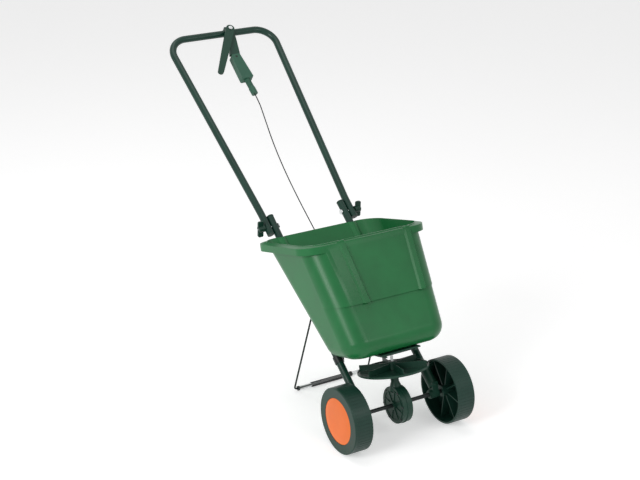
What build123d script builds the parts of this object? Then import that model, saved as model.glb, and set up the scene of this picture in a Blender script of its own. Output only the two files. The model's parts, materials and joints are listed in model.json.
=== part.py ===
"""Walk-behind broadcast spreader, parked on its wheels and wire stand.

Every piece is modelled in the machine frame: millimetres, origin at the middle of the
axle, +X across the machine, +Y to the rear, +Z square to the hopper rim.  At the end the
whole machine is leaned back onto its stand and set on the ground, so the exported frame
has +Z up, the front facing -Y and the origin under the middle of the bounding box.
"""
from build123d import *
import math
import os

# ---------------------------------------------------------------- driving dimensions
# wheels and axle
wheel_radius = 90.0
wheel_width = 53.0
wheel_room = 4.0            # between each wheel and its axle bush
axle_radius = 5.5
cap_radius = 63.0
cap_seat = 4.0              # depth of the recess that the cap snaps into
cap_edge = 3.2
cap_dome = 2.8
cap_shoulder = 14.0
cap_wall = 2.0
tread_wall = 5.0
wheel_web = 6.0             # thickness of the wheel's outer web
hub_radius = 15.0
pocket_radius = 11.0        # recess for the clip under each cap
pocket_depth = 9.0
spoke_count = 8
spoke_thickness = 3.0
groove_count = 60
groove_width = 2.2
groove_depth = 0.5
bush_radius = 8.5
bush_half_length = 14.0
bush_flange = 2.0
drive_pin_radius = 1.6
drive_pin_inset = 12.0      # from the wheel's inner side
clip_radius = 9.0
clip_thickness = 1.2

# attitude
lean_angle = 16.25          # hopper rim against the ground when parked
handle_angle = 36.5         # frame tubes against the hopper's upright axis

# hopper
opening_half_width = 179.5
opening_front = 44.4        # inner front edge of the opening, behind the axle
opening_back = 312.9
rim_height = 460.2          # above the axle
floor_height = 156.0        # inner floor above the axle
hopper_wall = 3.0
side_taper = 0.102          # each side wall's drift per unit of height
front_taper = 0.4117
corner_radius = 52.0
floor_radius = 36.0
rim_width = 16.0
rim_fall = 4.5
lip_height = 19.0
ledge_height = 299.0        # step in the front wall
pad_rise = 4.0              # front wall above the ledge stands this far out
rib_rise = 6.0              # ribs stand this far out of the pad
rib_half_width = 8.0
rib_slope = 4.0             # each rib's side drifts in by this much
rib_places = (-68.0, 106.0)
rib_run = 16.0              # ribs spread by this much towards the rim

# frame tubes
tube_radius = 10.4
tube_wall = 1.2
tube_half_spacing = 115.0
tube_axis_offset = 19.0     # tubes pass this far in front of the axle
lower_tube_top = 640.0      # measured along the tubes from the axle's level
handle_bottom = 586.0
fold_pivot = 608.0
handle_top = 1293.7
handle_top_half_width = 175.9
handle_bend_radius = 58.0
handle_kink_radius = 250.0
tube_foot = 30.0
fold_bolt_radius = 3.0
frame_bolt_radius = 3.0
hopper_bolt_heights = (270.0, 500.0)
washer_radius = 6.0
nut_across = 10.0

# drive
impeller_radius = 96.5
impeller_height = 94.0      # underside of the spinner disc above the axle
impeller_floor = 2.6
impeller_rim = 5.5
impeller_hub_radius = 11.0
fin_count = 6
fin_height = 19.0
gearbox_radius = 51.0
gearbox_half_width = 14.5
gearbox_wall = 2.3
neck_radius = 11.0
neck_top = 84.0
gearbox_screw_radius = 1.6
shaft_radius = 4.0
ring_teeth = 40
pinion_teeth = 8
pinion_pitch_radius = 7.5
ring_face = 6.0             # tips of the ring gear's teeth, to the right of the shaft
ring_depth = 5.6
ring_pin_x = -1.0
ring_hub_radius = 11.0
tooth_height = 3.6
cross_pin_radius = 1.5
agitator_rise = 14.0        # above the hopper's inner floor
agitator_radius = 1.8
agitator_reach = 34.0

# stand
wire_radius = 2.6
stand_top = 336.0           # along the tubes
brace_top = 126.5
leg_spread = 8.0            # each leg's foot stands this far outside its tube
leg_bend_radius = 9.0
brace_inset = 13.0
eye_wall = 4.0
foot_reach = 345.0          # behind the axle on the ground
foot_sleeve_radius = 7.2
foot_bar_radius = 5.8
foot_sleeve_length = 135.0

# control
control_x = 31.0
control_turn = 3.9
control_bolt_radius = 3.0
lever_length = 186.0
lever_splay = 28.0
lever_thickness = 9.0
box_offset = -13.0          # top of the control box, across from the bolt
box_turn = 6.5
box_top = -92.0
box_bottom = -184.0
box_top_half_width = 14.5
box_bottom_half_width = 19.0
box_front = -15.0
box_back = 9.0
box_wall = 2.5
box_screw_radius = 2.0
box_screw_head = 3.8
bracket_thickness = 11.0
neck_tube_radius = 9.0
neck_end = -238.0
shutter_travel = 20.0
cable_radius = 1.6

# outlet and shutter
port_radius = 9.0
port_spread = 27.0          # ports either side of the shaft
outlet_plate_thickness = 4.0
shutter_thickness = 2.5
outlet_half_width = 62.0
outlet_front = -52.0
outlet_back = 76.0
screw_radius = 2.0
shaft_bush_radius = 7.0
shutter_half_width = 44.0
shutter_front = -46.0
shutter_back = 40.0
ear_height = 9.0
wire_drop = 5.0             # inner wire's axis below the shutter
wire_core_radius = 0.9
stop_front = 84.0
stop_length = 40.0
stop_grip = 12.0            # length of the casing held in the stop
strap_front = 88.0
strap_width = 20.0
strap_thickness = 3.0
strap_distance = 171.0      # along the tubes
strap_under = 145.2

# fits
channel_room = 1.0          # between a frame tube and its channel in the hopper
running = 0.06              # radial clearance of a shaft in its bush
gap = 0.4                   # clearance between neighbouring pieces

# ---------------------------------------------------------------- frames and helpers
lean = math.radians(lean_angle)
lower_tube_line = Pos(0, -tube_axis_offset, 0) * Rot(-handle_angle, 0, 0)
control_frame = lower_tube_line * Pos(control_x, 0, handle_top) * Rot(0, control_turn, 0)
tube_slope = math.tan(math.radians(handle_angle))
sides = (("left", -1), ("right", 1))
port_places = [(-port_spread, 0), (port_spread, 0)]
outlet_screw_places = [
    (x, y) for x in (-outlet_half_width + 8, outlet_half_width - 8)
    for y in (outlet_front + 34, outlet_back - 32)
]
floor_under = floor_height - hopper_wall
plate_under = floor_under - outlet_plate_thickness
shutter_top = plate_under - gap
shutter_under = shutter_top - shutter_thickness
wire_height = shutter_under - wire_drop
half_track = tube_half_spacing + bush_half_length + bush_flange + wheel_room + wheel_width
drive_pin_x = half_track - wheel_width + drive_pin_inset
agitator_height = floor_height + agitator_rise
impeller_pin_height = impeller_height + 18
ring_pitch_radius = pinion_pitch_radius * ring_teeth / pinion_teeth
handle_half_spacing = tube_half_spacing + 2 * tube_radius + 0.6
knob_face = handle_half_spacing + tube_radius
leg_foot_x = tube_half_spacing + leg_spread
brace_eye_x = leg_foot_x - brace_inset
box_middle = (box_front + box_back) / 2
box_frame_in_control = Pos(box_offset, 0, box_top) * Rot(0, -box_turn, 0) * Pos(
    0, 0, -box_top)
box_frame = control_frame * box_frame_in_control


def ground_point(reach, height):
    """Machine-frame Y and Z of a point given behind the axle and above the ground."""
    rise = height - wheel_radius
    y = math.cos(lean) * reach - math.sin(lean) * rise
    z = math.sin(lean) * reach + math.cos(lean) * rise
    return y, z


def along_tube(distance):
    """Machine-frame Y and Z of a point on the frame tubes' axis."""
    angle = math.radians(handle_angle)
    return -tube_axis_offset + math.sin(angle) * distance, math.cos(angle) * distance


def rod(start, end, radius):
    """Round bar between two points."""
    a, b = Vector(*start), Vector(*end)
    plane = Plane(origin=a, z_dir=b - a)
    return plane * Cylinder(radius, (b - a).length, align=(Align.CENTER, Align.CENTER, Align.MIN))


def x_rod(radius, x0, x1, y=0.0, z=0.0):
    """Round bar along X."""
    return rod((x0, y, z), (x1, y, z), radius)


def z_rod(radius, z0, z1, x=0.0, y=0.0):
    """Round bar along Z."""
    return Pos(x, y, z0) * Cylinder(radius, z1 - z0, align=(Align.CENTER, Align.CENTER, Align.MIN))


def y_rod(radius, y0, y1, x=0.0, z=0.0):
    """Round bar along Y."""
    return rod((x, y0, z), (x, y1, z), radius)


def block(x0, x1, y0, y1, z0, z1):
    """Box between two corners."""
    size = (x1 - x0, y1 - y0, z1 - z0)
    return Pos((x0 + x1) / 2, (y0 + y1) / 2, (z0 + z1) / 2) * Box(*size)


def hex_bar(across_flats, height):
    """Hexagonal bar standing on the origin."""
    outline = RegularPolygon(across_flats / 2, 6, major_radius=False)
    return extrude(outline, height)


def swept(points, radii, radius):
    """Round bar along a path with rounded corners."""
    path = FilletPolyline(*points, radius=radii)
    return sweep(Plane(path @ 0, z_dir=path % 0) * Circle(radius), path)


# ---------------------------------------------------------------- hopper
def front_line(height, inset):
    """Y of the front wall at a height, moved in square to the wall by inset."""
    steep = math.hypot(1, front_taper)
    return opening_front - front_taper * (rim_height - height) + inset * steep


def hopper_block(inset, forward, top):
    """Tapered tub: the hopper's form moved in by inset, its front moved out by forward."""
    rise = top - floor_height
    side_steep = math.hypot(1, side_taper)
    back_steep = math.hypot(1, tube_slope)
    bottom = floor_height + inset

    def half_width(z):
        return opening_half_width - side_taper * (rim_height - z) - inset * side_steep

    def front(z):
        return front_line(z, inset) - forward

    def back(z):
        return opening_back - tube_slope * (rim_height - z) - inset * back_steep

    side = Polyline(
        (0, front(top), top), (0, front(bottom), bottom), (0, back(bottom), bottom),
        (0, back(top), top), close=True,
    )
    across = Polyline(
        (-half_width(top), 0, top), (-half_width(bottom), 0, bottom),
        (half_width(bottom), 0, bottom), (half_width(top), 0, top), close=True,
    )
    deep = rise + 2 * opening_half_width
    tub = extrude(make_face(side), amount=deep, both=True, dir=(1, 0, 0))
    tub &= extrude(make_face(across), amount=deep, both=True, dir=(0, 1, 0))
    lengthwise = [edge for edge in tub.edges() if abs((edge % 0.5).Z) > 0.5]
    tub = fillet(lengthwise, corner_radius - inset)
    floor_edges = tub.faces().sort_by(Axis.Z)[0].edges()
    return fillet(floor_edges, floor_radius - inset)


def front_rib(place, inset):
    """Tapered rib down the front wall, from under the rim to the ledge."""
    faces = []
    for height in (ledge_height + inset, rim_height):
        share = (height - ledge_height) / (rim_height - ledge_height)
        x = place + math.copysign(rib_run * share, place)
        base = rib_half_width - inset
        crown = base - rib_slope
        inside = front_line(height, inset)
        outside = inside - pad_rise - rib_rise
        outline = Polyline(
            (x - base, inside, height), (x - base, inside - pad_rise, height),
            (x - crown, outside, height), (x + crown, outside, height),
            (x + base, inside - pad_rise, height), (x + base, inside, height), close=True,
        )
        faces.append(make_face(outline))
    return loft(faces, ruled=True)


def hopper_form(inset):
    """Tub with the raised pad and ribs on its front wall."""
    top = rim_height
    plain = hopper_block(inset, 0, top)
    upper = block(-300, 300, -200, 200, ledge_height + inset, top + 1)
    form = plain + (hopper_block(inset, pad_rise, top) & upper)
    for place in rib_places:
        form += front_rib(place, inset)
    return form


def tube_channels(radius):
    """Round-bottomed channels that the frame tubes lie in, open to the rear."""
    made = []
    for _, side in sides:
        x = side * tube_half_spacing
        lane = z_rod(radius, 0, 900, x) + block(x - radius, x + radius, 0, 90, 0, 900)
        made.append(lower_tube_line * lane)
    return made[0] + made[1]


def rim_slab(grow, top, bottom, fall):
    """Rounded plate around the opening whose upper face falls outwards."""
    half = opening_half_width + rim_width + grow
    depth = (opening_back - opening_front) / 2 + rim_width + grow
    middle = (opening_back + opening_front) / 2
    radius = corner_radius + 4 + grow
    plate = Pos(0, middle, bottom) * extrude(
        RectangleRounded(2 * half, 2 * depth, radius), top - fall - bottom)
    crown = loft([
        Pos(0, middle, top - fall) * RectangleRounded(2 * half, 2 * depth, radius),
        Pos(0, middle, top) * RectangleRounded(
            2 * (half - rim_width), 2 * (depth - rim_width), corner_radius),
    ])
    return plate + crown


def make_hopper():
    """Moulded hopper with a turned-down rim."""
    lip_bottom = rim_height - rim_fall - lip_height
    flange = rim_slab(0, rim_height, lip_bottom, rim_fall)
    flange -= rim_slab(-hopper_wall, rim_height - hopper_wall, lip_bottom - 5, rim_fall)
    body = hopper_form(-hopper_wall) + flange
    body -= tube_channels(tube_radius + channel_room)
    body -= hopper_form(0) - tube_channels(tube_radius + channel_room + hopper_wall)
    for hole in hopper_bolt_holes():
        body -= hole
    for x, y in port_places:
        body -= z_rod(port_radius, floor_height - 30, floor_height + 10, x, y)
    body -= z_rod(shaft_bush_radius, floor_height - 30, floor_height + 10)
    for x, y in outlet_screw_places:
        body -= z_rod(screw_radius, floor_height - 30, floor_height + 10, x, y)
    return body


# ---------------------------------------------------------------- outlet and shutter
def make_outlet_plate():
    """Moulded plate screwed under the hopper floor, with rails for the shutter."""
    plate = block(-outlet_half_width, outlet_half_width, outlet_front, outlet_back,
                  plate_under, floor_under)
    for side in (-1, 1):
        wall_x = side * (shutter_half_width + gap + 2.5)
        plate += block(wall_x - 2.5, wall_x + 2.5, outlet_front, outlet_back,
                       shutter_under - gap, plate_under)
        lip_x = side * (shutter_half_width - 1.0)
        plate += block(min(lip_x, wall_x + side * 2.5), max(lip_x, wall_x + side * 2.5),
                       outlet_front, outlet_back,
                       shutter_under - gap - 2.0, shutter_under - gap)
    for x, y in port_places:
        plate -= z_rod(port_radius, plate_under - 1, floor_under + 1, x, y)
    plate -= z_rod(shaft_bush_radius, plate_under - 1, floor_under + 1)
    for x, y in outlet_screw_places:
        plate -= z_rod(screw_radius, plate_under - 1, floor_under + 1, x, y)
    return plate


def make_shutter_plate():
    """Sliding plate, closed: its ports stand one travel in front of the outlet ports."""
    plate = block(-shutter_half_width, shutter_half_width, shutter_front, shutter_back,
                  shutter_under, shutter_top)
    for x, y in port_places:
        plate -= z_rod(port_radius, shutter_under - 1, shutter_top + 1, x, y - shutter_travel)
    slot = block(-shaft_radius - 2, shaft_radius + 2, -shutter_travel, 0,
                 shutter_under - 1, shutter_top + 1)
    slot += z_rod(shaft_radius + 2, shutter_under - 1, shutter_top + 1)
    slot += z_rod(shaft_radius + 2, shutter_under - 1, shutter_top + 1, 0, -shutter_travel)
    plate -= slot
    ear = block(-6, 6, shutter_back - 4, shutter_back, shutter_under - ear_height,
                shutter_under)
    return plate + ear - y_rod(wire_core_radius, shutter_back - 5, shutter_back + 1, 0, wire_height)


def make_inner_wire():
    """Inner wire from the shutter's ear into the cable stop, with a ball on its end."""
    wire = y_rod(wire_core_radius, shutter_back - 6, stop_front + 4, 0, wire_height)
    return wire + Pos(0, shutter_back - 6.5, wire_height) * Sphere(2.0)


def make_cable_stop():
    """Sleeve on the support strap that holds the cable's outer casing."""
    sleeve = y_rod(4.0, stop_front, stop_front + stop_length, 0, wire_height)
    foot = block(-7, 7, strap_front, strap_front + strap_width, wire_height, strap_under)
    sleeve += foot
    stop_end = stop_front + stop_length
    sleeve -= y_rod(cable_radius, stop_end - stop_grip, stop_end + 1, 0, wire_height)
    return sleeve - y_rod(wire_core_radius + running, stop_front - 1, stop_end, 0, wire_height)


def make_outlet_screws():
    """Four screws through the outlet plate and the hopper floor, with nuts inside."""
    made = []
    for x, y in outlet_screw_places:
        screw = z_rod(screw_radius, plate_under, floor_height + 4, x, y)
        screw += z_rod(3.8, plate_under - 2.0, plate_under, x, y)
        screw += Pos(x, y, floor_height) * hex_bar(7, 3)
        made.append(screw)
    return made


# ---------------------------------------------------------------- frame
def make_support_strap():
    """Steel strap between the frame tubes that steadies the outlet plate."""
    ends = tube_half_spacing - tube_radius
    strap = block(-ends, ends, strap_front, strap_front + strap_width,
                  strap_under, strap_under + strap_thickness)
    strap += block(-30, 30, outlet_back - 13, strap_front + strap_thickness,
                   plate_under - strap_thickness, plate_under)
    strap += block(-30, 30, strap_front, strap_front + strap_thickness,
                   strap_under, plate_under)
    for _, side in sides:
        x = side * tube_half_spacing
        tube = lower_tube_line * z_rod(tube_radius, 0, 400, x)
        collar = lower_tube_line * z_rod(tube_radius + 2.4, strap_distance - 10,
                                         strap_distance + 10, x)
        tab = sorted((side * (ends - 10), side * ends))
        strap += block(*tab, strap_front, strap_front + strap_width,
                       strap_under - 14, strap_under + strap_thickness)
        strap += collar
        strap -= tube
    return strap


def make_lower_tube(side):
    """Straight frame tube from the axle bracket to above the rim."""
    x = side * tube_half_spacing
    tube = z_rod(tube_radius, tube_foot, lower_tube_top, x)
    tube -= z_rod(tube_radius - tube_wall, tube_foot - 1, lower_tube_top + 1, x)
    tube -= x_rod(fold_bolt_radius + gap / 2, x - 20, x + 20, 0, fold_pivot)
    tube = lower_tube_line * tube
    for top, foot_x in ((stand_top, side * leg_foot_x), (brace_top, side * brace_eye_x)):
        y, z = along_tube(top)
        tube -= rod((x, y, z), (foot_x, foot_y, foot_z), wire_radius + running)
    for height in hopper_bolt_heights:
        y, z = along_tube(height)
        tube -= lower_tube_line * y_rod(frame_bolt_radius, -20, 20, x, height)
    return tube


def make_axle_bracket(side):
    """Moulded foot on the tube's end with an eye for the axle bush."""
    x = side * tube_half_spacing
    socket = lower_tube_line * z_rod(tube_radius + 3, tube_foot - 6, tube_foot + 45, x)
    eye = x_rod(bush_radius + 4, x - 13, x + 13)
    web = block(x - 9, x + 9, -14, 6, 0, 34)
    bracket = socket + eye + web
    bracket -= lower_tube_line * z_rod(tube_radius, tube_foot, tube_foot + 60, x)
    return bracket - x_rod(bush_radius, x - 30, x + 30)


def make_axle_bushes():
    """Plain bushes that the axle turns in."""
    made = []
    for _, side in sides:
        x = side * tube_half_spacing
        start, end = x - bush_half_length, x + bush_half_length
        bush = x_rod(bush_radius, start, end)
        bush += x_rod(bush_radius + 2.5, start - bush_flange, start)
        bush -= x_rod(axle_radius + running, x - 20, x + 20)
        made.append(bush)
    return made


def make_tube_plugs():
    """Round-topped plugs in the upper ends of the lower tubes."""
    made = []
    for _, side in sides:
        x = side * tube_half_spacing
        plug = z_rod(tube_radius - tube_wall, lower_tube_top - 10, lower_tube_top, x)
        cap = z_rod(tube_radius + 0.6, lower_tube_top, lower_tube_top + 3, x)
        plug += fillet(cap.faces().sort_by(Axis.Z)[-1].edges(), 2.0)
        made.append(lower_tube_line * plug)
    return made


def make_hopper_bolts():
    """Bolts through the frame tubes and the channels in the hopper's rear wall."""
    made = []
    depth = -(tube_radius + channel_room)
    for _, side in sides:
        x = side * tube_half_spacing
        for height in hopper_bolt_heights:
            bolt = y_rod(frame_bolt_radius, depth - hopper_wall - 6, tube_radius + 2, x, height)
            bolt += y_rod(washer_radius, depth - hopper_wall - 2.5, depth - hopper_wall,
                          x, height)
            nut = Pos(x, tube_radius, height) * Rot(-90, 0, 0) * hex_bar(nut_across, 5)
            made.append(lower_tube_line * (bolt + nut))
    return made


def hopper_bolt_holes():
    """Holes for the hopper bolts."""
    made = []
    for _, side in sides:
        for height in hopper_bolt_heights:
            made.append(lower_tube_line * y_rod(
                frame_bolt_radius, -40, 0, side * tube_half_spacing, height))
    return made


# ---------------------------------------------------------------- stand
foot_y, foot_z = ground_point(foot_reach, foot_sleeve_radius)


def make_leg_wire():
    """One bent wire: down from each tube and across through the foot bar."""
    y, z = along_tube(stand_top)
    x = tube_half_spacing
    points = [(-x, y, z), (-leg_foot_x, foot_y, foot_z), (leg_foot_x, foot_y, foot_z),
              (x, y, z)]
    return swept(points, leg_bend_radius, wire_radius)


def make_brace(side):
    """Straight wire from the frame tube to an eye around the leg wire's foot."""
    y, z = along_tube(brace_top)
    x = side * tube_half_spacing
    eye_x = side * brace_eye_x
    wire = rod((x, y, z), (eye_x, foot_y, foot_z), wire_radius)
    wire += x_rod(wire_radius + eye_wall, eye_x - wire_radius, eye_x + wire_radius,
                  foot_y, foot_z)
    return wire - x_rod(wire_radius + running, eye_x - 9, eye_x + 9, foot_y, foot_z)


def make_foot_bar():
    """Plated tube over the leg wire where the stand rests."""
    end = brace_eye_x - wire_radius - gap
    bar = x_rod(foot_bar_radius, -end, end, foot_y, foot_z)
    return bar - x_rod(wire_radius + running, -end - 1, end + 1, foot_y, foot_z)


def make_foot_sleeve():
    """Soft sleeve on the middle of the foot bar."""
    half = foot_sleeve_length / 2
    sleeve = x_rod(foot_sleeve_radius, -half, half, foot_y, foot_z)
    return sleeve - x_rod(foot_bar_radius, -half - 1, half + 1, foot_y, foot_z)


# ---------------------------------------------------------------- drive
def make_axle():
    """Steel axle with a cross hole for the drive pin."""
    end = half_track - 5
    axle = x_rod(axle_radius, -end, end)
    return axle - z_rod(drive_pin_radius, -20, 20, -drive_pin_x) - z_rod(
        drive_pin_radius, -20, 20, ring_pin_x)


def wheel(side):
    """Moulded wheel: tread ring, outer web, hub and ribs on its open inner side."""
    def span(x0, x1, radius):
        return x_rod(radius, min(side * x0, side * x1), max(side * x0, side * x1))

    outer, inner = half_track, half_track - wheel_width
    web = outer - 2 * wheel_web
    body = span(inner, outer - 2.0, wheel_radius)
    face = span(outer - wheel_web, outer, wheel_radius)
    rims = face.edges().filter_by(GeomType.CIRCLE).sort_by(Axis.X)
    body += fillet(rims[-1 if side > 0 else 0], 3.0)
    body -= span(inner - 1, web, wheel_radius - tread_wall)
    body -= span(outer - cap_seat, outer + 1, cap_radius + gap)
    body += span(inner + 4, web + 2, hub_radius)
    body -= span(outer - pocket_depth, outer + 1, pocket_radius)
    spoke = block(-spoke_thickness / 2, spoke_thickness / 2, hub_radius - 1,
                  wheel_radius - tread_wall + 1, 0, web - inner - 15)
    place = Pos(side * web, 0, 0) * Rot(0, -90 * side, 0)
    for index in range(spoke_count):
        body += Rot((index + 0.5) * 360 / spoke_count, 0, 0) * place * spoke
    return body


def tread_grooves(side):
    """Shallow grooves across the tread."""
    made = []
    inner = half_track - wheel_width
    x0, x1 = sorted((side * (inner - 1), side * (half_track - 7)))
    groove = block(x0, x1, -groove_width / 2, groove_width / 2, wheel_radius - groove_depth,
                   wheel_radius + 3)
    for index in range(groove_count):
        made.append(Rot(index * 360 / groove_count, 0, 0) * groove)
    return made


def make_drive_wheel():
    """Left wheel, pinned to the axle."""
    body = wheel(-1) - tread_grooves(-1)
    body -= x_rod(axle_radius, -half_track - 1, 0)
    return body - z_rod(drive_pin_radius, -hub_radius - 3, hub_radius + 3, -drive_pin_x)


def make_free_wheel():
    """Right wheel, free on the axle."""
    body = wheel(1) - tread_grooves(1)
    return body - x_rod(axle_radius + running, 0, half_track + 1)


def make_drive_pin():
    """Cross pin that keys the drive wheel to the axle."""
    return z_rod(drive_pin_radius, -hub_radius, hub_radius, -drive_pin_x)


def make_wheel_cap(side):
    """Stepped cap that snaps into the wheel's face over the axle's end."""
    shoulder = cap_dome * 0.64
    disc = z_rod(cap_radius, 0, cap_edge)
    disc += Pos(0, 0, cap_edge) * Cone(
        cap_radius - 0.6, cap_radius - cap_shoulder, shoulder,
        align=(Align.CENTER, Align.CENTER, Align.MIN))
    disc += Pos(0, 0, cap_edge + shoulder) * Cone(
        cap_radius - cap_shoulder, 10, cap_dome - shoulder,
        align=(Align.CENTER, Align.CENTER, Align.MIN))
    disc -= z_rod(cap_radius - 6, -1, cap_wall + 0.4)
    return Pos(side * (half_track - cap_seat), 0, 0) * Rot(0, 90 * side, 0) * disc


def make_wheel_clips():
    """Push-on clips on the axle's ends that keep the wheels on."""
    made = []
    for _, side in sides:
        x0 = side * (half_track - pocket_depth + gap)
        clip = x_rod(clip_radius, *sorted((x0, x0 + side * clip_thickness)))
        clip -= x_rod(axle_radius, *sorted((x0 - 3 * side, x0 + 3 * side)))
        made.append(clip)
    return made


# ---------------------------------------------------------------- gearbox
def gearbox_form(radius, half_width, neck, neck_top):
    """Round gearbox with a neck around the upright shaft."""
    form = x_rod(radius, -half_width, half_width)
    form += z_rod(neck, 20, neck_top)
    cone = Pos(0, 0, radius - 12) * Cone(neck + 9, neck, 24,
                                         align=(Align.CENTER, Align.CENTER, Align.MIN))
    return form + cone


def make_gearbox_half(side):
    """One half shell of the gearbox, ribbed on its outer face."""
    shell = gearbox_form(gearbox_radius, gearbox_half_width, neck_radius, neck_top)
    inner = gearbox_form(gearbox_radius - gearbox_wall - 1.5,
                         gearbox_half_width - gearbox_wall, neck_radius - gearbox_wall, 70)
    shell -= inner & block(-100, 100, -100, 100, -100, 70)
    shell += x_rod(gearbox_radius + 1.5, -2, 2) - x_rod(gearbox_radius - 3, -3, 3)
    face = side * gearbox_half_width
    for index in range(8):
        rib = block(-1.2, 1.2, 11, gearbox_radius - 9, -0.5, 2.0)
        place = Pos(face, 0, 0) * Rot(0, 90 * side, 0)
        shell += Rot(index * 45 + 22.5, 0, 0) * place * rib
    ring = x_rod(gearbox_radius - 8, *sorted((face, face + side * 1.5)))
    ring -= x_rod(gearbox_radius - 11, *sorted((face - side, face + side * 3)))
    boss = x_rod(12, *sorted((face, face + side * 5)))
    shell += ring + boss
    shell -= x_rod(axle_radius + running, -60, 60)
    shell -= z_rod(shaft_radius + running, 10, neck_top + 5)
    for y, z in gearbox_screw_places:
        shell += x_rod(3.4, -gearbox_half_width + 1, gearbox_half_width - 1, y, z)
        shell -= x_rod(gearbox_screw_radius, -gearbox_half_width - 3, gearbox_half_width + 3,
                       y, z)
    half = block(0, 100, -100, 100, -100, 200) if side > 0 else block(
        -100, 0, -100, 100, -100, 200)
    return shell & half


gearbox_screw_places = [
    ((gearbox_radius - 4) * math.cos(math.radians(angle)),
     (gearbox_radius - 4) * math.sin(math.radians(angle)))
    for angle in (-130, -50, 0, 50, 130, 180)
]


def make_gearbox_screws():
    """Screws that join the gearbox halves."""
    made = []
    for y, z in gearbox_screw_places:
        head = -gearbox_half_width - 1.8
        made.append(x_rod(gearbox_screw_radius, head, gearbox_half_width, y, z)
                    + x_rod(3.0, head, -gearbox_half_width, y, z))
    return made


def make_ring_gear():
    """Face gear on the axle: straight teeth on the face towards the shaft."""
    back = ring_face + ring_depth
    disc = ring_face + tooth_height - 0.2
    gear = x_rod(ring_pitch_radius + 4.5, disc, back)
    gear += x_rod(ring_hub_radius, ring_pin_x - 5, back)
    tooth = block(ring_face, ring_face + tooth_height, -0.9, 0.9, ring_pitch_radius - 4,
                  ring_pitch_radius + 4)
    for index in range(ring_teeth):
        gear += Rot((index + 0.5) * 360 / ring_teeth, 0, 0) * tooth
    gear -= x_rod(axle_radius, -40, 40)
    return gear - z_rod(drive_pin_radius, -20, 20, ring_pin_x)


def make_ring_pin():
    """Cross pin that keys the ring gear to the axle."""
    return z_rod(drive_pin_radius, -ring_hub_radius, ring_hub_radius, ring_pin_x)


def make_pinion():
    """Straight-toothed pinion on the foot of the impeller shaft."""
    low, high = ring_pitch_radius - 2.2, ring_pitch_radius + 2.2
    gear = z_rod(pinion_pitch_radius - 2.1, low - 3, high + 3)
    tooth = block(pinion_pitch_radius - 3.0, pinion_pitch_radius + 1.3, -0.8, 0.8, low, high)
    for index in range(pinion_teeth):
        gear += Rot(0, 0, index * 360 / pinion_teeth) * tooth
    return gear - z_rod(shaft_radius, 0, 100)


def make_impeller_shaft():
    """Upright shaft from the pinion through the spinner disc into the hopper."""
    shaft = z_rod(shaft_radius, ring_pitch_radius - 8.0, agitator_height + 6)
    shaft -= x_rod(cross_pin_radius, -10, 10, 0, impeller_pin_height)
    return shaft - x_rod(agitator_radius, -10, 10, 0, agitator_height)


def make_impeller():
    """Spinner disc with a raised rim and radial fins around its hub."""
    under, top = impeller_height, impeller_height + fin_height + 5
    disc = z_rod(impeller_radius, under, under + impeller_floor)
    rim = z_rod(impeller_radius, under, under + impeller_rim)
    disc += rim - z_rod(impeller_radius - 2.4, under - 1, under + impeller_rim + 1)
    disc += z_rod(impeller_hub_radius, under - 6, top)
    fin = block(impeller_hub_radius - 2, impeller_radius - 4, -1.1, 1.1, under + 1,
                under + fin_height)
    for index in range(fin_count):
        disc += Rot(0, 0, index * 360 / fin_count + 15) * fin
    disc -= z_rod(shaft_radius, 0, 200)
    return disc - x_rod(cross_pin_radius, -20, 20, 0, impeller_pin_height)


def make_impeller_pin():
    """Cross pin that keys the spinner disc to its shaft."""
    reach = impeller_hub_radius - 0.5
    return x_rod(cross_pin_radius, -reach, reach, 0, impeller_pin_height)


def make_agitator():
    """Bent stirring wire through the top of the shaft."""
    tip = agitator_height + 12
    points = [(-agitator_reach, 0, tip), (-16, 0, agitator_height),
              (16, 0, agitator_height), (agitator_reach, 0, tip)]
    return swept(points, 6.0, agitator_radius)


def make_shaft_bush():
    """Flanged bush for the shaft in the hopper floor."""
    bush = z_rod(shaft_bush_radius, plate_under, floor_height + 2)
    bush += z_rod(shaft_bush_radius + 3, floor_height, floor_height + 2)
    return bush - z_rod(shaft_radius + running, 0, 300)


# ---------------------------------------------------------------- upper handle and knobs
def make_upper_handle():
    """U-shaped handle tube, hinged on the lower tubes."""
    near = handle_half_spacing
    kink = lower_tube_top + 12
    points = [
        (-near, 0, handle_bottom), (-near, 0, kink),
        (-handle_top_half_width, 0, handle_top), (handle_top_half_width, 0, handle_top),
        (near, 0, kink), (near, 0, handle_bottom),
    ]
    radii = [handle_kink_radius, handle_bend_radius, handle_bend_radius, handle_kink_radius]
    tube = swept(points, radii, tube_radius) - swept(points, radii, tube_radius - tube_wall)
    tube -= x_rod(fold_bolt_radius + gap / 2, -300, 300, 0, fold_pivot)
    tube = lower_tube_line * tube
    return tube - control_frame * y_rod(control_bolt_radius + running, -30, 30)


def make_handle_plugs():
    """Plugs in the lower ends of the upper handle."""
    made = []
    for _, side in sides:
        x = side * handle_half_spacing
        plug = z_rod(tube_radius - tube_wall, handle_bottom, handle_bottom + 10, x)
        plug += z_rod(tube_radius, handle_bottom - 2, handle_bottom, x)
        made.append(lower_tube_line * plug)
    return made


def make_fold_bolts():
    """Carriage bolts through both tubes on each side; the handle folds about them."""
    made = []
    for _, side in sides:
        head_x = side * (tube_half_spacing - tube_radius)
        end_x = side * (knob_face + 22)
        bolt = x_rod(fold_bolt_radius, *sorted((head_x, end_x)), 0, fold_pivot)
        bolt += x_rod(7.5, *sorted((head_x - side * 3.2, head_x)), 0, fold_pivot)
        made.append(lower_tube_line * bolt)
    return made


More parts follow.
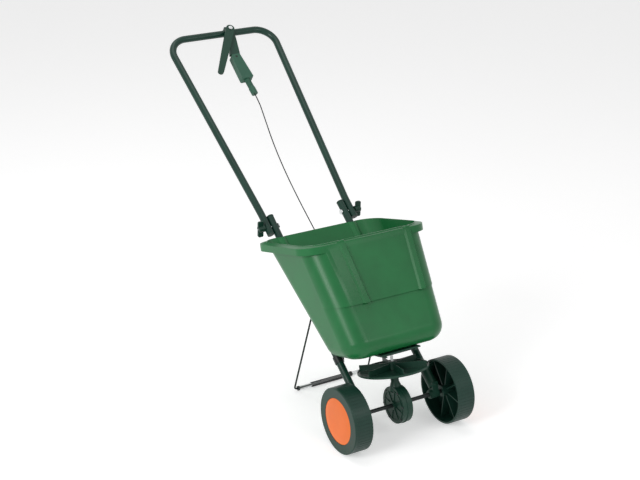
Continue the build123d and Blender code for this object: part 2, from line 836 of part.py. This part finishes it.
def make_knob(side):
    """Two-winged knob nut on the outer side of the fold bolt."""
    x0 = side * (knob_face + gap)
    hub = x_rod(9.5, *sorted((x0, x0 + side * 18)), 0, fold_pivot)
    for turn in (0, 180):
        wing = block(-3.2, 3.2, 4, 23, 4, 20)
        wing = fillet(wing.edges().filter_by(Axis.X), 4)
        wing = Pos(x0, 0, fold_pivot) * Rot(turn - 35, 0, 0) * Rot(0, 90 * side, 0) * wing
        hub += wing
    hub -= x_rod(fold_bolt_radius + running, *sorted((x0 - side, x0 + side * 30)), 0, fold_pivot)
    return lower_tube_line * hub


# ---------------------------------------------------------------- control
def make_control_bracket():
    """Moulded bracket over the handle's crossbar that carries the control box."""
    outline = Polyline((-13, 6), (-15, -34), (box_offset - 16, box_top),
                       (box_offset + 16, box_top), (11, -30), (13, 6), close=True)
    plate = Pos(0, -3, 0) * extrude(Plane.XZ * make_face(outline), bracket_thickness)
    across = tube_radius + 4
    saddle = y_rod(14, -14, 0) + block(-13, 13, -13, tube_radius + 3, -across, across)
    bracket = plate + saddle
    bar = x_rod(tube_radius + 0.05, -60, 60)
    bracket -= Rot(0, -control_turn, 0) * bar
    bracket -= box_frame_in_control * block(-60, 60, -60, 60, box_bottom, box_top + gap / 4)
    return control_frame * (bracket - y_rod(control_bolt_radius + running, -40, 40))


def box_form(inset):
    """Flat box that widens downwards, its walls moved in by inset."""
    top, bottom = box_top - inset, box_bottom + inset
    upper, lower = box_top_half_width - inset, box_bottom_half_width - inset
    outline = Polyline((-upper, top), (upper, top), (lower, bottom), (-lower, bottom),
                       close=True)
    depth = box_back - box_front - 2 * inset
    form = Pos(0, box_back - inset, 0) * extrude(Plane.XZ * make_face(outline), depth)
    return fillet(form.edges().filter_by(Axis.Y), 4 - inset / 2)


def make_control_box(front):
    """One half of the control box."""
    box = box_form(0) - box_form(box_wall)
    box -= y_rod(box_screw_radius, -60, 60, 0, box_top - 9)
    box -= y_rod(box_screw_head, box_front - 1, box_front + 2, 0, box_top - 9)
    box -= z_rod(neck_tube_radius, box_bottom - 1, box_bottom + 4, 0, box_middle)
    half = block(-50, 50, -60, box_middle, -300, 0) if front else block(
        -50, 50, box_middle, 60, -300, 0)
    return box_frame * (box & half)


def make_box_screw():
    """Sunk screw through both halves of the control box."""
    height = box_top - 9
    screw = y_rod(box_screw_radius, box_front + 0.2, box_back, 0, height)
    return box_frame * (screw + y_rod(box_screw_head, box_front + 0.2, box_front + 2, 0, height))


def make_cable_neck():
    """Threaded neck that leads the cable out of the control box."""
    x, y = 0, box_middle
    neck = z_rod(neck_tube_radius, neck_end + 3, box_bottom + 4, x, y)
    neck += z_rod(neck_tube_radius + 1, neck_end, neck_end + 22, x, y)
    for index in range(6):
        height = neck_end + 26 + index * 4
        neck -= z_rod(neck_tube_radius + 1, height, height + 1.6, x, y) - z_rod(
            neck_tube_radius - 1, height - 1, height + 3, x, y)
    bore = z_rod(cable_radius + running, neck_end - 1, box_bottom + 9, x, y)
    return box_frame * (neck - bore)


def make_control_lever():
    """Hand lever that squeezes across the front of the control box."""
    tip = lever_length - 9
    outline = Polyline((-13, 0), (-12, -70), (-9, -tip), (9, -tip), (12, -78), (13, 0),
                       close=True)
    plate = make_face(outline) + Circle(13) + Pos(0, -tip) * Circle(9)
    lever = extrude(Plane.XZ * plate, lever_thickness)
    lever = Pos(0, box_front - gap, 0) * lever
    lever = Rot(0, lever_splay, 0) * lever
    return control_frame * (lever - y_rod(control_bolt_radius + running, -60, 60))


def make_lever_bolt():
    """Pivot bolt through the lever, the bracket and the crossbar."""
    head = box_front - gap - lever_thickness - gap
    bolt = y_rod(control_bolt_radius, head, tube_radius + 8)
    return control_frame * (bolt + y_rod(6.2, head - 2.6, head))


def make_lever_nut():
    """Nut of the lever's pivot bolt."""
    nut = Pos(0, tube_radius + 3.2, 0) * Rot(-90, 0, 0) * hex_bar(nut_across, 4)
    return control_frame * (nut - y_rod(control_bolt_radius, 0, 40))


# ---------------------------------------------------------------- cable
def cable_points():
    """Route of the cable from the control box's neck to the cable stop."""
    upper = [
        box_frame * Pos(0, box_middle, neck_end + 30),
        box_frame * Pos(0, box_middle, neck_end - 26),
        lower_tube_line * Pos(13, -2, 975),
        lower_tube_line * Pos(2, 1, 880),
        lower_tube_line * Pos(-1, 7, 780),
        lower_tube_line * Pos(4, 16, 680),
        lower_tube_line * Pos(13, 27, 600),
        lower_tube_line * Pos(18, 32, 520),
        lower_tube_line * Pos(15, 25, 420),
        lower_tube_line * Pos(4, 22, 320),
    ]
    points = [place.position for place in upper]
    stop_end = stop_front + stop_length
    points += [Vector(0.6, stop_end + 44, wire_height + 38),
               Vector(0, stop_end + 22, wire_height),
               Vector(0, stop_end - stop_grip, wire_height)]
    return points


def corner_radii(points):
    """Largest tangent arc that each corner's two runs allow."""
    radii = []
    for before, here, after in zip(points, points[1:], points[2:]):
        first, second = here - before, after - here
        turn = math.radians(first.get_angle(second))
        radii.append(0.45 * min(first.length, second.length) / math.tan(turn / 2))
    return radii


def make_control_cable():
    """Outer casing of the control cable, straight runs joined by tangent arcs."""
    points = cable_points()
    return swept(points, corner_radii(points), cable_radius)


# ---------------------------------------------------------------- all pieces
def make_all():
    """Every node's solids in the machine frame."""
    nodes = {
        "hopper": [make_hopper()],
        "outlet_plate": [make_outlet_plate()],
        "shutter_plate": [make_shutter_plate()],
        "inner_wire": [make_inner_wire()],
        "cable_stop": [make_cable_stop()],
        "outlet_screws": make_outlet_screws(),
        "support_strap": [make_support_strap()],
        "axle_bushes": make_axle_bushes(),
        "tube_plugs": make_tube_plugs(),
        "hopper_bolts": make_hopper_bolts(),
        "leg_wire": [make_leg_wire()],
        "foot_bar": [make_foot_bar()],
        "foot_sleeve": [make_foot_sleeve()],
        "axle": [make_axle()],
        "drive_wheel": [make_drive_wheel()],
        "free_wheel": [make_free_wheel()],
        "drive_pin": [make_drive_pin()],
        "wheel_clips": make_wheel_clips(),
        "gearbox_screws": make_gearbox_screws(),
        "ring_gear": [make_ring_gear()],
        "ring_pin": [make_ring_pin()],
        "pinion": [make_pinion()],
        "impeller_shaft": [make_impeller_shaft()],
        "impeller": [make_impeller()],
        "impeller_pin": [make_impeller_pin()],
        "agitator": [make_agitator()],
        "shaft_bush": [make_shaft_bush()],
        "upper_handle": [make_upper_handle()],
        "handle_plugs": make_handle_plugs(),
        "fold_bolts": make_fold_bolts(),
        "control_bracket": [make_control_bracket()],
        "control_box_front": [make_control_box(True)],
        "control_box_back": [make_control_box(False)],
        "box_screw": [make_box_screw()],
        "cable_neck": [make_cable_neck()],
        "control_lever": [make_control_lever()],
        "lever_bolt": [make_lever_bolt()],
        "lever_nut": [make_lever_nut()],
        "control_cable": [make_control_cable()],
    }
    for name, side in sides:
        nodes["lower_tube_" + name] = [make_lower_tube(side)]
        nodes["axle_bracket_" + name] = [make_axle_bracket(side)]
        nodes["stand_brace_" + name] = [make_brace(side)]
        nodes["gearbox_" + name] = [make_gearbox_half(side)]
        nodes["wheel_cap_" + name] = [make_wheel_cap(side)]
        nodes["knob_" + name] = [make_knob(side)]
    return nodes


def parked(nodes):
    """Lean the machine onto its stand and put the origin under the middle of its box."""
    leaning = Rot(-lean_angle, 0, 0)
    placed = {name: [leaning * piece for piece in made] for name, made in nodes.items()}
    everything = Compound(children=[solid for made in placed.values() for piece in made
                                    for solid in piece.solids()])
    box = everything.bounding_box()
    shift = Pos(-(box.min.X + box.max.X) / 2, -(box.min.Y + box.max.Y) / 2, -box.min.Z)
    return {name: [shift * piece for piece in made] for name, made in placed.items()}, shift


if __name__ == "__main__":
    os.makedirs("parts", exist_ok=True)
    nodes, origin_shift = parked(make_all())
    for name, made in nodes.items():
        solids = [solid for piece in made for solid in piece.solids()]
        shape = solids[0] if len(solids) == 1 else Compound(children=solids)
        shape.label = name
        export_step(shape, "parts/" + name + ".step")
    print("axle at Y", round(origin_shift.position.Y, 4), "Z", round(origin_shift.position.Z, 4))
    print("cable radii", [round(radius, 1) for radius in corner_radii(cable_points())])
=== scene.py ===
"""Looks of the walk-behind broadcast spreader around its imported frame."""

import json
import math

import bpy
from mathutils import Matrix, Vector

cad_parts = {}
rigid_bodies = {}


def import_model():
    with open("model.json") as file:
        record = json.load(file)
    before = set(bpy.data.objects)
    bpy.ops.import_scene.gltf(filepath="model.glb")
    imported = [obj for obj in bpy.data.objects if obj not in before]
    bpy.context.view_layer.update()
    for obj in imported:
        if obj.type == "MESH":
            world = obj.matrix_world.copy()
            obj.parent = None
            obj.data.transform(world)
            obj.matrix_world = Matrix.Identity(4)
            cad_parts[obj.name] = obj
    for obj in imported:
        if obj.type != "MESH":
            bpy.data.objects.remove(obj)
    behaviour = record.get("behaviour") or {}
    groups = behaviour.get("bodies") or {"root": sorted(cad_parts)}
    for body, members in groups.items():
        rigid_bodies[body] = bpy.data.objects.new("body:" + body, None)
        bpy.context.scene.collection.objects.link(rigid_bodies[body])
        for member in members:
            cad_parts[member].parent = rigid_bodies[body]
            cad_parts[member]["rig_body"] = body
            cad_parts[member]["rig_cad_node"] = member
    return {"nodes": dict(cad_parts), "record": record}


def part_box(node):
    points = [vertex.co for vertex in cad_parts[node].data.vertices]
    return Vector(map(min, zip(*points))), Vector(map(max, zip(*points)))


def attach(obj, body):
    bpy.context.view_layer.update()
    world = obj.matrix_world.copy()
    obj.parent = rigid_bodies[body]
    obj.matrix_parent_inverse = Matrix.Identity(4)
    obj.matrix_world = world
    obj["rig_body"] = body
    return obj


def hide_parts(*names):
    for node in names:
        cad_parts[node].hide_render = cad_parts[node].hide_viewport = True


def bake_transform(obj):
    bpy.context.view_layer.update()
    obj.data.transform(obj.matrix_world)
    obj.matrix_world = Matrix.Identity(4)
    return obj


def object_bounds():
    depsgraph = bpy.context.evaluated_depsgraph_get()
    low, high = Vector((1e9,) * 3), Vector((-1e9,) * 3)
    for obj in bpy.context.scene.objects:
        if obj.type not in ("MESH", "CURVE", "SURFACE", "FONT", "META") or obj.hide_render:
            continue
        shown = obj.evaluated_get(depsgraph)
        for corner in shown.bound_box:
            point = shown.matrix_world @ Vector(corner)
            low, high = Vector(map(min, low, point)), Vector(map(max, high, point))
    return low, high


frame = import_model()
cad_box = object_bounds()
nodes = frame["nodes"]
scene = bpy.context.scene


# ---------------------------------------------------------------- materials
specular_level = 0.28
mould_cloud_scale = 7.0
mould_flow_scale = 34.0
mould_wave_scale = 22.0
paint_cloud_scale = 11.0
paint_speck_scale = 420.0
paint_peel_scale = 260.0
metal_line_scale = 320.0
metal_cloud_scale = 40.0
rubber_bloom_scale = 60.0
rubber_grain_scale = 700.0


def new_material(name):
    """Empty node material; returns the material, its node tree and its shader."""
    material = bpy.data.materials.new(name)
    material.use_nodes = True
    tree = material.node_tree
    shader = tree.nodes["Principled BSDF"]
    return material, tree, shader


def object_point(tree, stretch=(1, 1, 1)):
    """Object coordinates through a Mapping node."""
    place = tree.nodes.new("ShaderNodeTexCoord")
    mapping = tree.nodes.new("ShaderNodeMapping")
    mapping.inputs["Scale"].default_value = stretch
    tree.links.new(place.outputs["Object"], mapping.inputs["Vector"])
    return mapping.outputs["Vector"]


def noise(tree, point, scale, detail=4.0, roughness=0.5):
    """Noise pattern of a given scale."""
    node = tree.nodes.new("ShaderNodeTexNoise")
    node.inputs["Scale"].default_value = scale
    node.inputs["Detail"].default_value = detail
    node.inputs["Roughness"].default_value = roughness
    tree.links.new(point, node.inputs["Vector"])
    return node.outputs["Fac"]


def ramp(tree, value, stops):
    """Colour ramp with the given (place, colour) stops."""
    node = tree.nodes.new("ShaderNodeValToRGB")
    elements = node.color_ramp.elements
    elements[0].position, elements[0].color = stops[0][0], (*stops[0][1], 1)
    elements[1].position, elements[1].color = stops[-1][0], (*stops[-1][1], 1)
    for place, colour in stops[1:-1]:
        extra = elements.new(place)
        extra.color = (*colour, 1)
    tree.links.new(value, node.inputs["Fac"])
    return node.outputs["Color"]


def spread(tree, value, low, high, from_low=0.3, from_high=0.7):
    """Map a pattern onto a range."""
    node = tree.nodes.new("ShaderNodeMapRange")
    node.inputs["From Min"].default_value = from_low
    node.inputs["From Max"].default_value = from_high
    node.inputs["To Min"].default_value = low
    node.inputs["To Max"].default_value = high
    tree.links.new(value, node.inputs["Value"])
    return node.outputs["Result"]


def bump(tree, height, strength, distance, under=None):
    """Bump from a height pattern, over another bump if given."""
    node = tree.nodes.new("ShaderNodeBump")
    node.inputs["Strength"].default_value = strength
    node.inputs["Distance"].default_value = distance
    tree.links.new(height, node.inputs["Height"])
    if under is not None:
        tree.links.new(under, node.inputs["Normal"])
    return node.outputs["Normal"]


def shades(colour, low, high):
    """A colour darkened and lightened by two factors."""
    return tuple(c * low for c in colour), tuple(min(1, c * high) for c in colour)


def moulded_plastic(name, colour, rough=(0.3, 0.42), grain=900.0, depth=0.00012):
    """Moulded plastic: faint flow marks, fine mould grain, dulled patches and dust."""
    material, tree, shader = new_material(name)
    point = object_point(tree)
    dark, light = shades(colour, 0.88, 1.14)
    clouds = noise(tree, point, mould_cloud_scale, 5.0, 0.55)
    flow = noise(tree, object_point(tree, (1, 1, 0.25)), mould_flow_scale, 3.0)
    tint = ramp(tree, clouds, [(0.3, dark), (0.5, colour), (0.72, light)])
    streak = tree.nodes.new("ShaderNodeMix")
    streak.data_type = "RGBA"
    streak.blend_type = "SOFT_LIGHT"
    streak.inputs["Factor"].default_value = 0.12
    tree.links.new(tint, streak.inputs["A"])
    tree.links.new(ramp(tree, flow, [(0.3, (0.3, 0.3, 0.3)), (0.7, (0.7, 0.7, 0.7))]),
                   streak.inputs["B"])
    tree.links.new(streak.outputs["Result"], shader.inputs["Base Color"])
    tree.links.new(spread(tree, clouds, *rough), shader.inputs["Roughness"])
    fine = noise(tree, point, grain, 2.0)
    waves = noise(tree, point, mould_wave_scale, 2.0)
    soft = bump(tree, waves, 0.10, 0.0008)
    tree.links.new(bump(tree, fine, 0.22, depth, soft), shader.inputs["Normal"])
    shader.inputs["Specular IOR Level"].default_value = specular_level
    return material


def painted_tube(name, colour, rough=(0.2, 0.3)):
    """Stoved gloss paint on steel: orange peel, small chips of primer, handling marks."""
    material, tree, shader = new_material(name)
    point = object_point(tree)
    dark, light = shades(colour, 0.85, 1.2)
    clouds = noise(tree, point, paint_cloud_scale, 4.0)
    tint = ramp(tree, clouds, [(0.32, dark), (0.55, colour), (0.75, light)])
    specks = noise(tree, point, paint_speck_scale, 1.0)
    chips = tree.nodes.new("ShaderNodeMix")
    chips.data_type = "RGBA"
    tree.links.new(spread(tree, specks, 0.0, 0.5, 0.76, 0.8), chips.inputs["Factor"])
    tree.links.new(tint, chips.inputs["A"])
    chips.inputs["B"].default_value = (*light, 1)
    tree.links.new(chips.outputs["Result"], shader.inputs["Base Color"])
    tree.links.new(spread(tree, clouds, *rough), shader.inputs["Roughness"])
    peel = noise(tree, point, paint_peel_scale, 2.0)
    tree.links.new(bump(tree, peel, 0.08, 0.0003), shader.inputs["Normal"])
    shader.inputs["Specular IOR Level"].default_value = specular_level
    return material


def bare_metal(name, colour, rough=(0.25, 0.42), along=(1, 1, 1), metallic=1.0):
    """Drawn or plated steel with fine drawing lines and cloudy plating."""
    material, tree, shader = new_material(name)
    dark, light = shades(colour, 0.75, 1.1)
    lines = noise(tree, object_point(tree, along), metal_line_scale, 3.0)
    clouds = noise(tree, object_point(tree), metal_cloud_scale, 3.0)
    tree.links.new(ramp(tree, clouds, [(0.3, dark), (0.5, colour), (0.7, light)]),
                   shader.inputs["Base Color"])
    shader.inputs["Metallic"].default_value = metallic
    tree.links.new(spread(tree, lines, *rough), shader.inputs["Roughness"])
    tree.links.new(bump(tree, lines, 0.12, 0.0002), shader.inputs["Normal"])
    return material


def soft_rubber(name, colour):
    """Matt rubber with a dusty bloom."""
    material, tree, shader = new_material(name)
    point = object_point(tree)
    dark, light = shades(colour, 0.8, 1.5)
    bloom = noise(tree, point, rubber_bloom_scale, 6.0, 0.6)
    tree.links.new(ramp(tree, bloom, [(0.35, dark), (0.55, colour), (0.8, light)]),
                   shader.inputs["Base Color"])
    tree.links.new(spread(tree, bloom, 0.6, 0.85), shader.inputs["Roughness"])
    grain = noise(tree, point, rubber_grain_scale, 2.0)
    tree.links.new(bump(tree, grain, 0.3, 0.0002), shader.inputs["Normal"])
    return material


hopper_green = moulded_plastic("hopper_green", (0.009, 0.122, 0.034), (0.26, 0.36))
dark_plastic = moulded_plastic("dark_plastic", (0.006, 0.036, 0.022), (0.32, 0.46))
grey_green = moulded_plastic("grey_green_plastic", (0.026, 0.092, 0.058), (0.38, 0.5))
wheel_plastic = moulded_plastic("wheel_plastic", (0.007, 0.034, 0.023), (0.36, 0.50))
cap_orange = moulded_plastic("cap_orange", (0.76, 0.150, 0.014), (0.34, 0.46))
tube_green = painted_tube("tube_paint", (0.007, 0.036, 0.024))
zinc = bare_metal("plated_steel", (0.62, 0.64, 0.64), along=(1, 12, 12))
dark_wire = painted_tube("dark_steel", (0.009, 0.015, 0.014), (0.3, 0.42))
sleeve_rubber = soft_rubber("black_rubber", (0.012, 0.014, 0.014))
sheath = moulded_plastic("cable_sheath", (0.008, 0.013, 0.012), (0.4, 0.5))

finishes = {
    "hopper_green": hopper_green,
    "dark_plastic": dark_plastic,
    "grey_green_plastic": grey_green,
    "wheel_plastic": wheel_plastic,
    "cap_orange": cap_orange,
    "tube_paint": tube_green,
    "plated_steel": zinc,
    "dark_steel": dark_wire,
    "black_rubber": sleeve_rubber,
    "cable_sheath": sheath,
}
slot_of = {entry["node"]: entry["material_slot"] for entry in frame["record"]["subparts"]}


def paint_frame():
    """Give every CAD node the finish of its slot."""
    for name, piece in nodes.items():
        piece.data.materials.clear()
        piece.data.materials.append(finishes[slot_of[name]])


# ---------------------------------------------------------------- pieces
body_of = {name: body for body, members in frame["record"]["behaviour"]["bodies"].items()
           for name in members}


def only(piece):
    """Select one piece and make it active."""
    bpy.ops.object.select_all(action="DESELECT")
    piece.select_set(True)
    bpy.context.view_layer.objects.active = piece


def settle(piece):
    """Put a piece's place into its mesh."""
    only(piece)
    bpy.ops.object.transform_apply(location=True, rotation=True, scale=True)


def finish_piece(piece, name, material, body, stands_for):
    """Name a piece, paint it, let it ride and hide the CAD nodes it stands for."""
    piece.name = name
    piece.data.name = name
    piece.data.materials.clear()
    piece.data.materials.append(material)
    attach(piece, body)
    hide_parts(*stands_for)


merge_distance = 0.00002
flat_angle = math.radians(0.1)
rounding_angle = math.radians(32)
rounding_segments = 3
shading_angle = math.radians(38)


def softened(node, width):
    """A CAD node's shape with its hard edges rounded, standing for the node."""
    source = nodes[node]
    piece = source.copy()
    piece.data = source.data.copy()
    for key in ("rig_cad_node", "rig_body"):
        if key in piece:
            del piece[key]
    piece.parent = None
    scene.collection.objects.link(piece)
    only(piece)
    bpy.ops.object.mode_set(mode="EDIT")
    bpy.ops.mesh.select_all(action="SELECT")
    bpy.ops.mesh.remove_doubles(threshold=merge_distance)
    bpy.ops.mesh.dissolve_limited(angle_limit=flat_angle)
    bpy.ops.object.mode_set(mode="OBJECT")
    rounding = piece.modifiers.new("rounded_edges", "BEVEL")
    rounding.width = width
    rounding.segments = rounding_segments
    rounding.limit_method = "ANGLE"
    rounding.angle_limit = rounding_angle
    rounding.miter_outer = "MITER_ARC"
    rounding.harden_normals = False
    bpy.ops.object.modifier_apply(modifier=rounding.name)
    bpy.ops.object.shade_smooth_by_angle(angle=shading_angle)
    level = piece.modifiers.new("even_shading", "WEIGHTED_NORMAL")
    level.keep_sharp = True
    bpy.ops.object.modifier_apply(modifier=level.name)
    slot = slot_of[node]
    finish_piece(piece, node + "_moulded", finishes[slot], body_of[node], (node,))


cap_drum_share = 0.55
cap_segments = 96
cap_steps = [(0.0012, 0.0006), (0.0010, 0.0002), (0.0009, -0.0005), (0.0010, 0.0005),
             (0.010, 0.0010), (0.012, 0.0005), (0.012, 0.0002), (0.010, 0.0001)]
cap_shading_angle = math.radians(40)


def make_cap(side_name, side):
    """Domed wheel cap with a rolled edge, a shallow groove and a dimpled middle."""
    node = "wheel_cap_" + side_name
    low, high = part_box(node)
    middle = (low + high) / 2
    radius = (high.z - low.z) / 2
    depth = high.x - low.x
    bpy.ops.object.select_all(action="DESELECT")
    bpy.ops.mesh.primitive_cylinder_add(vertices=cap_segments, radius=radius,
                                        depth=depth * cap_drum_share,
                                        location=(0, 0, depth * cap_drum_share / 2),
                                        end_fill_type="NGON")
    cap = bpy.context.object
    bpy.ops.object.transform_apply(location=True, rotation=True, scale=True)
    bpy.ops.object.mode_set(mode="EDIT")
    bpy.ops.mesh.select_mode(type="FACE")
    bpy.ops.mesh.select_all(action="DESELECT")
    bpy.ops.object.mode_set(mode="OBJECT")
    for face in cap.data.polygons:
        face.select = face.normal.z > 0.9
    bpy.ops.object.mode_set(mode="EDIT")
    for inward, rise in cap_steps:
        bpy.ops.mesh.inset(thickness=inward, depth=0)
        bpy.ops.transform.translate(value=(0, 0, rise))
    bpy.ops.object.mode_set(mode="OBJECT")
    smooth = cap.modifiers.new("rounding", "SUBSURF")
    smooth.levels = smooth.render_levels = 1
    bpy.ops.object.modifier_apply(modifier=smooth.name)
    bpy.ops.object.shade_smooth_by_angle(angle=cap_shading_angle)
    cap.rotation_euler = (0, math.radians(90 * side), 0)
    cap.location = (low.x if side > 0 else high.x, middle.y, middle.z)
    settle(cap)
    finish_piece(cap, "cap_" + side_name, cap_orange, body_of[node], (node,))


cable_route = [
    (0.01703, 0.37423, 0.75561), (0.01958, 0.3297, 0.72175), (0.013, 0.28575, 0.68707),
    (0.002, 0.21195, 0.62718), (-0.001, 0.13598, 0.56187), (0.004, 0.06183, 0.49418),
    (0.013, 0.0048, 0.437), (0.018, -0.05585, 0.3846), (0.015, -0.13969, 0.32964),
    (0.004, -0.2211, 0.2715), (0.0006, -0.25949, 0.21493), (0.0, -0.29125, 0.18461),
    (0.0, -0.32389, 0.19412),
]
cable_diameter = 0.0032
cable_line_steps = 14
cable_round_steps = 4


def make_cable():
    """Outer casing of the control cable as one smooth line."""
    data = bpy.data.curves.new("control_cable_casing", "CURVE")
    data.dimensions = "3D"
    spline = data.splines.new("NURBS")
    spline.points.add(len(cable_route) - 1)
    for point, place in zip(spline.points, cable_route):
        point.co = (*place, 1)
    spline.order_u = 3
    spline.use_endpoint_u = True
    spline.resolution_u = cable_line_steps
    data.bevel_depth = cable_diameter / 2
    data.bevel_resolution = cable_round_steps
    data.use_fill_caps = True
    curve = bpy.data.objects.new("control_cable_casing", data)
    scene.collection.objects.link(curve)
    bpy.context.view_layer.update()
    mesh = bpy.data.meshes.new_from_object(curve)
    bpy.data.objects.remove(curve)
    casing = bpy.data.objects.new("control_cable_casing", mesh)
    scene.collection.objects.link(casing)
    only(casing)
    bpy.ops.object.shade_smooth()
    casing.data.materials.clear()
    casing.data.materials.append(sheath)
    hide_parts("control_cable")
    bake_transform(casing)


rounded_nodes = {
    "hopper": 0.0012, "impeller": 0.0006,
    "control_lever": 0.0022, "control_bracket": 0.0016, "control_box_front": 0.0012,
    "control_box_back": 0.0012, "knob_left": 0.0015, "knob_right": 0.0015,
    "axle_bracket_left": 0.0012, "axle_bracket_right": 0.0012,
    "gearbox_left": 0.0006, "gearbox_right": 0.0006, "cable_neck": 0.0008,
}


# ---------------------------------------------------------------- studio
def area_light(name, place, aim, size, power):
    """Soft square light aimed at a point."""
    data = bpy.data.lights.new(name, "AREA")
    data.shape = "RECTANGLE"
    data.size, data.size_y = size
    data.energy = power
    light = bpy.data.objects.new(name, data)
    scene.collection.objects.link(light)
    light.location = place
    light.rotation_euler = (Vector(aim) - Vector(place)).to_track_quat("-Z", "Y").to_euler()


floor_size = 14
floor_tone = 0.86
floor_glow = 0.42
surround_glow = 0.42


def make_studio():
    """Pale floor, soft lights and a bright, even surround."""
    bpy.ops.object.select_all(action="DESELECT")
    bpy.ops.mesh.primitive_plane_add(size=floor_size, location=(0, 0, 0))
    floor = bpy.context.object
    floor.name = "studio_floor"
    material, tree, shader = new_material("studio_floor")
    shader.inputs["Base Color"].default_value = (floor_tone, floor_tone, floor_tone, 1)
    shader.inputs["Roughness"].default_value = 0.9
    shader.inputs["Emission Color"].default_value = (1, 1, 1, 1)
    shader.inputs["Emission Strength"].default_value = floor_glow
    floor.data.materials.append(material)
    world = bpy.data.worlds.new("studio")
    world.use_nodes = True
    surround = world.node_tree.nodes["Background"]
    surround.inputs["Color"].default_value = (1, 1, 1, 1)
    seen = world.node_tree.nodes.new("ShaderNodeLightPath")
    level = world.node_tree.nodes.new("ShaderNodeMapRange")
    level.inputs["To Min"].default_value = 1.0
    level.inputs["To Max"].default_value = surround_glow
    world.node_tree.links.new(seen.outputs["Is Diffuse Ray"], level.inputs["Value"])
    world.node_tree.links.new(level.outputs["Result"], surround.inputs["Strength"])
    scene.world = world
    scene.view_settings.view_transform = "Standard"
    middle = (cad_box[0] + cad_box[1]) / 2
    area_light("key_light", (-3.1, -1.3, 2.0), middle, (1.3, 1.5), 62)
    area_light("fill_light", (1.0, -3.2, 2.4), middle, (1.4, 1.0), 18)
    area_light("top_light", (-0.3, 0.6, 3.2), middle, (2.0, 2.0), 20)


camera_azimuth = math.radians(-30.52)
camera_elevation = math.radians(22.25)
camera_distance = 3.754
camera_aim = Vector((-0.095, -0.2219, 0.4942))
camera_lens = 79.1
camera_sensor = 36


def make_camera():
    """Camera for a three-quarter front view from the left."""
    azimuth, elevation = camera_azimuth, camera_elevation
    outward = Vector((math.sin(azimuth) * math.cos(elevation),
                      -math.cos(azimuth) * math.cos(elevation), math.sin(elevation)))
    data = bpy.data.cameras.new("camera")
    data.lens = camera_lens
    data.sensor_width = camera_sensor
    camera = bpy.data.objects.new("camera", data)
    scene.collection.objects.link(camera)
    camera.location = camera_aim + outward * camera_distance
    camera.rotation_euler = (-outward).to_track_quat("-Z", "Y").to_euler()
    scene.camera = camera


paint_frame()
make_cap("left", -1)
make_cap("right", 1)
make_cable()
for node_name, edge in rounded_nodes.items():
    softened(node_name, edge)
make_studio()
make_camera()
